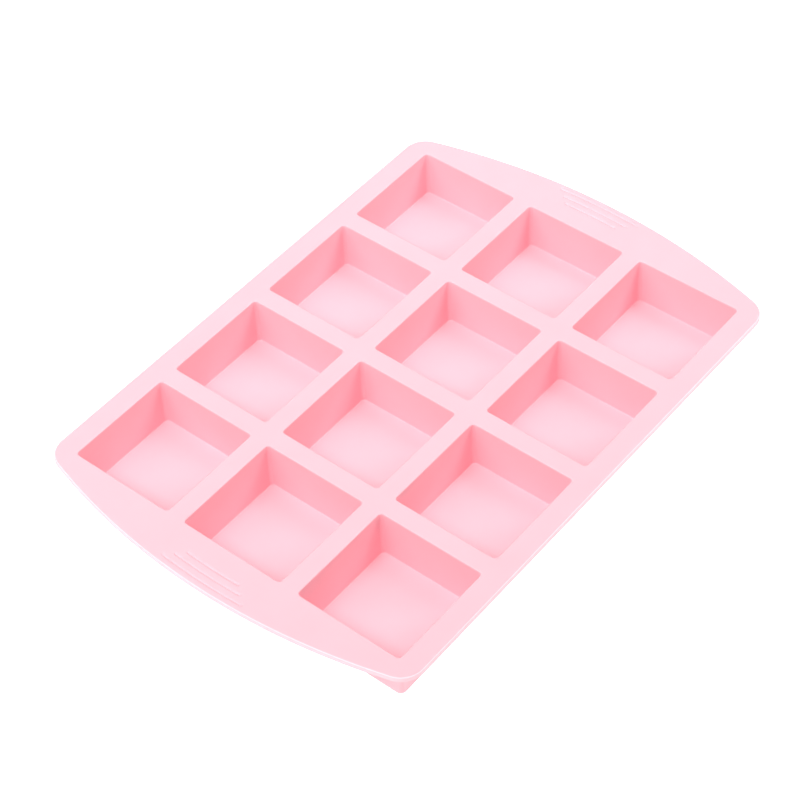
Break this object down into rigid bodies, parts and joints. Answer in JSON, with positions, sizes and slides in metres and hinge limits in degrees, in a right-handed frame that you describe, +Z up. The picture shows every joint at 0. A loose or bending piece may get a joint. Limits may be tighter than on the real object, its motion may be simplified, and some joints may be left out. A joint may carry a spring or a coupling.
{
  "type": "silicone soap mould tray",
  "caption": "Flat flexible tray with bowed ends and a grid of deep square cavities for casting bars of soap.",
  "frame": {"origin": "centre of the tray's footprint, on the plane its cups stand on", "axes": "+X along the long side, through the two bowed ends; +Z up, out of the cavities' mouths"},
  "size_m": [0.2738, 0.1918, 0.0254],
  "materials": {
    "silicone": "satin pale pink silicone, opaque"
  },
  "bodies": {
    "row_a": {"deck_row_a": "silicone", "flex_web_ab": "silicone", "cup_a1": "silicone", "cup_a2": "silicone", "cup_a3": "silicone"},
    "row_b": {"deck_row_b": "silicone", "cup_b1": "silicone", "cup_b2": "silicone", "cup_b3": "silicone"},
    "row_c": {"deck_row_c": "silicone", "flex_web_bc": "silicone", "cup_c1": "silicone", "cup_c2": "silicone", "cup_c3": "silicone"},
    "row_d": {"deck_row_d": "silicone", "flex_web_cd": "silicone", "cup_d1": "silicone", "cup_d2": "silicone", "cup_d3": "silicone"}
  },
  "joints": [
    {"name": "flex_ab", "type": "hinge", "parent": "row_b", "child": "row_a", "pos_m": [-0.06, 0, 0.0241], "axis": [0, 1, 0], "range_deg": [0, 45], "stiffness_Nm_per_rad": 0.03, "deforming": ["flex_web_ab"]},
    {"name": "flex_bc", "type": "hinge", "parent": "row_b", "child": "row_c", "pos_m": [0, 0, 0.0241], "axis": [0, -1, 0], "range_deg": [0, 45], "stiffness_Nm_per_rad": 0.03, "deforming": ["flex_web_bc"]},
    {"name": "flex_cd", "type": "hinge", "parent": "row_c", "child": "row_d", "pos_m": [0.06, 0, 0.0241], "axis": [0, -1, 0], "range_deg": [0, 45], "stiffness_Nm_per_rad": 0.03, "deforming": ["flex_web_cd"]}
  ]
}
